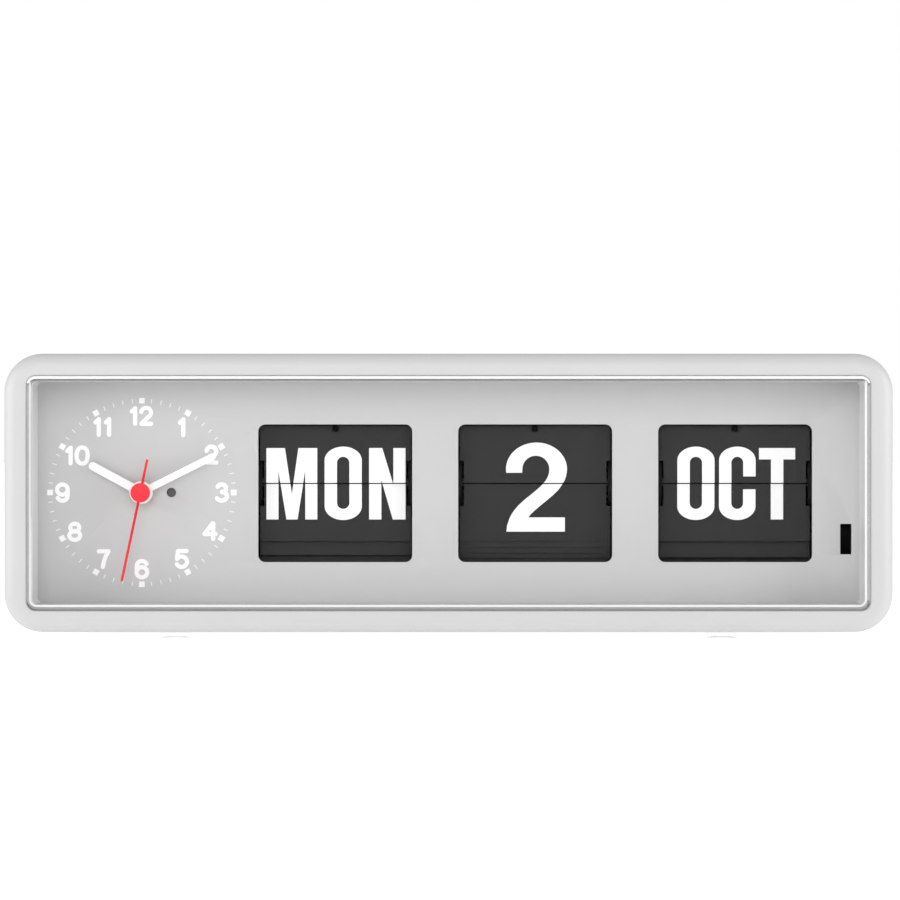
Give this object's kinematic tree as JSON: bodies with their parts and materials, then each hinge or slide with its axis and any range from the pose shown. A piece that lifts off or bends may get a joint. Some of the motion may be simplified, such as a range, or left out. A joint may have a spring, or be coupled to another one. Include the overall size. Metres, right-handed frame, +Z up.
{
  "type": "calendar flip clock",
  "caption": "Long desk clock with an analogue dial under a clear lens and flip-flap windows for weekday, date and month, set by thumbwheels and a knob at the rear.",
  "frame": {"origin": "on the standing surface, below the middle of the case", "axes": "+X to the right seen from the front, +Y from the front to the rear, +Z up"},
  "size_m": [0.335, 0.092, 0.1075],
  "materials": {
    "case_plastic": "fine satin moulding",
    "lens_clear": "clear polished acrylic",
    "dial_paint": "matte light grey paint",
    "cover_plastic": "fine satin moulding",
    "screw_steel": "zinc plated",
    "foot_rubber": "pale soft rubber",
    "cell_wrap": "plain wrapped cell",
    "spring_steel": "nickel plated strip",
    "lead_wire": "insulated wire",
    "movement_plastic": "black moulding",
    "bush_brass": "turned brass",
    "hand_white": "satin white paint",
    "hand_red": "satin red paint",
    "gear_plastic": "natural acetal",
    "arbor_steel": "ground steel",
    "knob_plastic": "dark grey moulding",
    "magnet": "sintered magnet",
    "coil_copper": "enamelled copper wire",
    "board_green": "circuit board",
    "day_night_disc": "grey and dark halves",
    "frame_steel": "painted sheet steel",
    "flap_plastic": "charcoal sheet with white print",
    "finger_black": "blackened spring strip",
    "drum_plastic": "black moulding",
    "thumb_plastic": "dark grey moulding",
    "leap_plastic": "black moulding"
  },
  "bodies": {
    "case": {"case_shell": "case_plastic", "front_lens": "lens_clear", "dial_plate": "dial_paint", "back_cover": "cover_plastic", "case_screws": "screw_steel", "dial_screws": "screw_steel", "base_screws": "screw_steel", "rubber_feet": "foot_rubber", "battery_cell": "cell_wrap", "battery_spring": "spring_steel", "battery_contact": "spring_steel", "battery_leads": "lead_wire", "movement_case": "movement_plastic", "movement_cover": "movement_plastic", "dial_bush": "bush_brass", "motor_stator": "spring_steel", "motor_coil": "coil_copper", "circuit_board": "board_green", "quartz_crystal": "spring_steel", "calendar_base": "frame_steel", "calendar_cheeks": "frame_steel", "drum_axle": "arbor_steel", "thumb_axle": "arbor_steel", "flap_fingers": "finger_black", "drum_detents": "spring_steel", "weekday_flaps": "flap_plastic", "date_flaps": "flap_plastic", "month_flaps": "flap_plastic"},
    "hour": {"hour_hand": "hand_white", "hour_wheel": "gear_plastic"},
    "minute": {"minute_hand": "hand_white", "cannon_pinion": "gear_plastic"},
    "second": {"second_hand": "hand_red", "second_wheel": "gear_plastic"},
    "setting": {"minute_wheel": "gear_plastic", "setting_arbor": "arbor_steel", "setting_knob": "knob_plastic"},
    "day_night": {"day_night_wheel": "day_night_disc"},
    "fifth": {"fifth_wheel": "gear_plastic"},
    "rotor": {"motor_rotor": "magnet"},
    "weekday_drum": {"weekday_drum": "drum_plastic"},
    "date_drum": {"date_drum": "drum_plastic"},
    "month_drum": {"month_drum": "drum_plastic"},
    "weekday_leaf": {"weekday_leaf": "flap_plastic"},
    "date_leaf": {"date_leaf": "flap_plastic"},
    "month_leaf": {"month_leaf": "flap_plastic"},
    "weekday_thumbwheel": {"weekday_thumbwheel": "thumb_plastic"},
    "date_thumbwheel": {"date_thumbwheel": "thumb_plastic"},
    "month_thumbwheel": {"month_thumbwheel": "thumb_plastic"},
    "leap_year": {"leap_year_wheel": "leap_plastic", "leap_year_gear": "gear_plastic"},
    "battery_door": {"battery_door": "cover_plastic"}
  },
  "joints": [
    {"name": "minute_spin", "type": "hinge", "parent": "case", "child": "minute", "pos_m": [-0.1169, 0, 0.055], "axis": [0, 1, 0], "continuous": true},
    {"name": "hour_spin", "type": "hinge", "parent": "case", "child": "hour", "pos_m": [-0.1169, 0, 0.055], "axis": [0, 1, 0], "continuous": true},
    {"name": "setting_spin", "type": "hinge", "parent": "case", "child": "setting", "pos_m": [-0.12751, 0, 0.06561], "axis": [0, 1, 0], "continuous": true},
    {"name": "day_night_spin", "type": "hinge", "parent": "case", "child": "day_night", "pos_m": [-0.0997, 0, 0.04971], "axis": [0, 1, 0], "continuous": true},
    {"name": "second_spin", "type": "hinge", "parent": "case", "child": "second", "pos_m": [-0.1169, 0, 0.055], "axis": [0, 1, 0], "continuous": true},
    {"name": "fifth_spin", "type": "hinge", "parent": "case", "child": "fifth", "pos_m": [-0.1169, 0, 0.0445], "axis": [0, 1, 0], "continuous": true},
    {"name": "rotor_spin", "type": "hinge", "parent": "case", "child": "rotor", "pos_m": [-0.1079, 0, 0.0445], "axis": [0, 1, 0], "continuous": true},
    {"name": "weekday_thumb_spin", "type": "hinge", "parent": "case", "child": "weekday_thumbwheel", "pos_m": [-0.0432, 0.023, 0.0589], "axis": [1, 0, 0], "continuous": true},
    {"name": "weekday_drum_spin", "type": "hinge", "parent": "case", "child": "weekday_drum", "pos_m": [-0.0432, -0.0078, 0.0589], "axis": [1, 0, 0], "continuous": true},
    {"name": "weekday_leaf_fall", "type": "hinge", "parent": "case", "child": "weekday_leaf", "pos_m": [-0.0432, -0.02, 0.0589], "axis": [1, 0, 0], "range_deg": [0, 181]},
    {"name": "date_thumb_spin", "type": "hinge", "parent": "case", "child": "date_thumbwheel", "pos_m": [0.03305, 0.023, 0.0589], "axis": [1, 0, 0], "continuous": true},
    {"name": "date_drum_spin", "type": "hinge", "parent": "case", "child": "date_drum", "pos_m": [0.03305, -0.0078, 0.0589], "axis": [1, 0, 0], "continuous": true},
    {"name": "date_leaf_fall", "type": "hinge", "parent": "case", "child": "date_leaf", "pos_m": [0.03305, -0.02, 0.0589], "axis": [1, 0, 0], "range_deg": [0, 181]},
    {"name": "month_thumb_spin", "type": "hinge", "parent": "case", "child": "month_thumbwheel", "pos_m": [0.1093, 0.023, 0.0589], "axis": [1, 0, 0], "continuous": true},
    {"name": "month_drum_spin", "type": "hinge", "parent": "case", "child": "month_drum", "pos_m": [0.1093, -0.0078, 0.0589], "axis": [1, 0, 0], "continuous": true},
    {"name": "month_leaf_fall", "type": "hinge", "parent": "case", "child": "month_leaf", "pos_m": [0.1093, -0.02, 0.0589], "axis": [1, 0, 0], "range_deg": [0, 181]},
    {"name": "leap_year_spin", "type": "hinge", "parent": "case", "child": "leap_year", "pos_m": [0.1515, -0.003, 0.03846], "axis": [1, 0, 0], "continuous": true},
    {"name": "battery_door_slide", "type": "slide", "parent": "case", "child": "battery_door", "axis": [1, 0, 0], "range_m": [0, 0.062]}
  ],
  "couplings": [
    {"joint": "hour_spin", "follows": "minute_spin", "ratio": 0.083333},
    {"joint": "setting_spin", "follows": "minute_spin", "ratio": -0.33333},
    {"joint": "day_night_spin", "follows": "minute_spin", "ratio": -0.041667},
    {"joint": "fifth_spin", "follows": "second_spin", "ratio": -6},
    {"joint": "rotor_spin", "follows": "second_spin", "ratio": 30},
    {"joint": "weekday_drum_spin", "follows": "weekday_thumb_spin", "ratio": -1.4444},
    {"joint": "date_drum_spin", "follows": "date_thumb_spin", "ratio": -1.4444},
    {"joint": "month_drum_spin", "follows": "month_thumb_spin", "ratio": -1.4444},
    {"joint": "leap_year_spin", "follows": "month_thumb_spin", "ratio": 0.36111}
  ]
}
